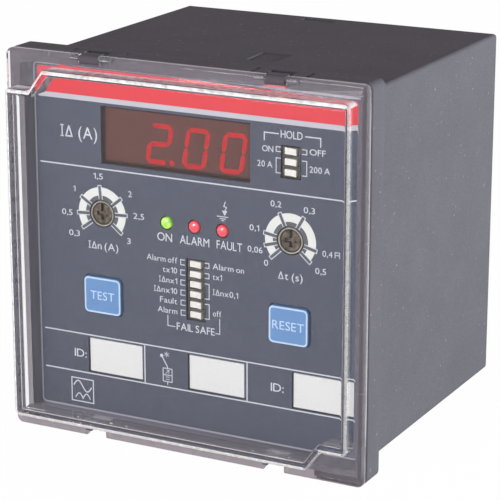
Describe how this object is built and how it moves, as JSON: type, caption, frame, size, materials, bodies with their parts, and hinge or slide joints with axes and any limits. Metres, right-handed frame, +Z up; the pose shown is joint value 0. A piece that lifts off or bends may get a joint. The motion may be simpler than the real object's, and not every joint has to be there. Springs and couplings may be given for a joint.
{
  "type": "protection relay",
  "caption": "Flush-mounted earth-leakage protection relay with numeric display, setting dials, option switches and keys under a clear hinged cover.",
  "frame": {"origin": "middle of the underside of the whole, at the lower edge of the front frame", "axes": "front faces -Y, +X to the viewer's right, +Z up, +Y into the panel"},
  "size_m": [0.096, 0.09, 0.096],
  "materials": {
    "case_plastic": "fine matt texture",
    "clear_plastic": "polished clear plastic",
    "printed_film": "satin printed film",
    "tinted_lens": "glossy tinted lens",
    "display_module": "matt",
    "green_lamp": "glossy lens",
    "red_lamp": "glossy lens",
    "trimmer_plastic": "matt",
    "rotor_plastic": "matt",
    "switch_plastic": "matt",
    "rocker_plastic": "satin",
    "key_plastic": "satin",
    "white_card": "matt card",
    "board_laminate": "satin laminate",
    "core_steel": "bare laminations",
    "capacitor_sleeve": "glossy sleeve",
    "relay_plastic": "satin",
    "terminal_plastic": "matt",
    "steel": "bright plated"
  },
  "bodies": {
    "base": {"front_frame": "case_plastic", "housing": "case_plastic", "hinge_pin_left": "steel", "hinge_pin_right": "steel", "overlay_film": "printed_film", "display_window": "tinted_lens", "display_module": "display_module", "lamp_on": "green_lamp", "lamp_alarm": "red_lamp", "lamp_fault": "red_lamp", "current_trimmer_body": "trimmer_plastic", "time_trimmer_body": "trimmer_plastic", "option_switch_body": "switch_plastic", "hold_switch_body": "switch_plastic", "test_switch": "switch_plastic", "reset_switch": "switch_plastic", "id_field_1": "white_card", "id_field_2": "white_card", "id_field_3": "white_card", "front_board": "board_laminate", "supply_board": "board_laminate", "output_board": "board_laminate", "transformer": "core_steel", "capacitor": "capacitor_sleeve", "output_relay_1": "relay_plastic", "output_relay_2": "relay_plastic", "terminal_block_upper": "terminal_plastic", "terminal_block_lower": "terminal_plastic", "terminal_screw_1": "steel", "terminal_screw_2": "steel", "terminal_screw_3": "steel", "terminal_screw_4": "steel", "terminal_screw_5": "steel", "terminal_screw_6": "steel", "terminal_screw_7": "steel", "terminal_screw_8": "steel", "terminal_screw_9": "steel", "terminal_screw_10": "steel", "terminal_screw_11": "steel", "terminal_screw_12": "steel", "terminal_screw_13": "steel", "terminal_screw_14": "steel", "terminal_screw_15": "steel", "terminal_screw_16": "steel"},
    "cover": {"front_cover": "clear_plastic"},
    "current_rotor": {"current_trimmer_rotor": "rotor_plastic"},
    "time_rotor": {"time_trimmer_rotor": "rotor_plastic"},
    "test_key": {"test_key": "key_plastic"},
    "reset_key": {"reset_key": "key_plastic"},
    "option_rocker_1": {"option_rocker_1": "rocker_plastic"},
    "option_rocker_2": {"option_rocker_2": "rocker_plastic"},
    "option_rocker_3": {"option_rocker_3": "rocker_plastic"},
    "option_rocker_4": {"option_rocker_4": "rocker_plastic"},
    "option_rocker_5": {"option_rocker_5": "rocker_plastic"},
    "option_rocker_6": {"option_rocker_6": "rocker_plastic"},
    "hold_rocker_1": {"hold_rocker_1": "rocker_plastic"},
    "hold_rocker_2": {"hold_rocker_2": "rocker_plastic"},
    "hold_rocker_3": {"hold_rocker_3": "rocker_plastic"}
  },
  "joints": [
    {"name": "cover_hinge", "type": "hinge", "parent": "base", "child": "cover", "pos_m": [0, -0.03915, 0.09485], "axis": [-1, 0, 0], "range_deg": [0, 150]},
    {"name": "current_dial", "type": "hinge", "parent": "base", "child": "current_rotor", "pos_m": [-0.0256, -0.033, 0.05565], "axis": [0, 1, 0], "range_deg": [-130, 130]},
    {"name": "time_dial", "type": "hinge", "parent": "base", "child": "time_rotor", "pos_m": [0.0256, -0.033, 0.05565], "axis": [0, 1, 0], "range_deg": [-130, 130]},
    {"name": "option_rocker_1_tip", "type": "hinge", "parent": "base", "child": "option_rocker_1", "pos_m": [0.0003, -0.03196, 0.04625], "axis": [0, 0, 1], "range_deg": [0, 16]},
    {"name": "option_rocker_2_tip", "type": "hinge", "parent": "base", "child": "option_rocker_2", "pos_m": [0.0003, -0.03196, 0.04371], "axis": [0, 0, 1], "range_deg": [0, 16]},
    {"name": "option_rocker_3_tip", "type": "hinge", "parent": "base", "child": "option_rocker_3", "pos_m": [0.0003, -0.03196, 0.04117], "axis": [0, 0, 1], "range_deg": [0, 16]},
    {"name": "option_rocker_4_tip", "type": "hinge", "parent": "base", "child": "option_rocker_4", "pos_m": [0.0003, -0.03196, 0.03863], "axis": [0, 0, 1], "range_deg": [0, 16]},
    {"name": "option_rocker_5_tip", "type": "hinge", "parent": "base", "child": "option_rocker_5", "pos_m": [0.0003, -0.03196, 0.03609], "axis": [0, 0, 1], "range_deg": [0, 16]},
    {"name": "option_rocker_6_tip", "type": "hinge", "parent": "base", "child": "option_rocker_6", "pos_m": [0.0003, -0.03196, 0.03355], "axis": [0, 0, 1], "range_deg": [0, 16]},
    {"name": "hold_rocker_1_tip", "type": "hinge", "parent": "base", "child": "hold_rocker_1", "pos_m": [0.0256, -0.03196, 0.07699], "axis": [0, 0, 1], "range_deg": [0, 16]},
    {"name": "hold_rocker_2_tip", "type": "hinge", "parent": "base", "child": "hold_rocker_2", "pos_m": [0.0256, -0.03196, 0.07445], "axis": [0, 0, 1], "range_deg": [0, 16]},
    {"name": "hold_rocker_3_tip", "type": "hinge", "parent": "base", "child": "hold_rocker_3", "pos_m": [0.0256, -0.03196, 0.07191], "axis": [0, 0, 1], "range_deg": [0, 16]},
    {"name": "test_press", "type": "slide", "parent": "base", "child": "test_key", "axis": [0, 1, 0], "range_m": [0, 0.0004], "stiffness_N_per_m": 300, "springref_m": -0.002},
    {"name": "reset_press", "type": "slide", "parent": "base", "child": "reset_key", "axis": [0, 1, 0], "range_m": [0, 0.0004], "stiffness_N_per_m": 300, "springref_m": -0.002}
  ]
}
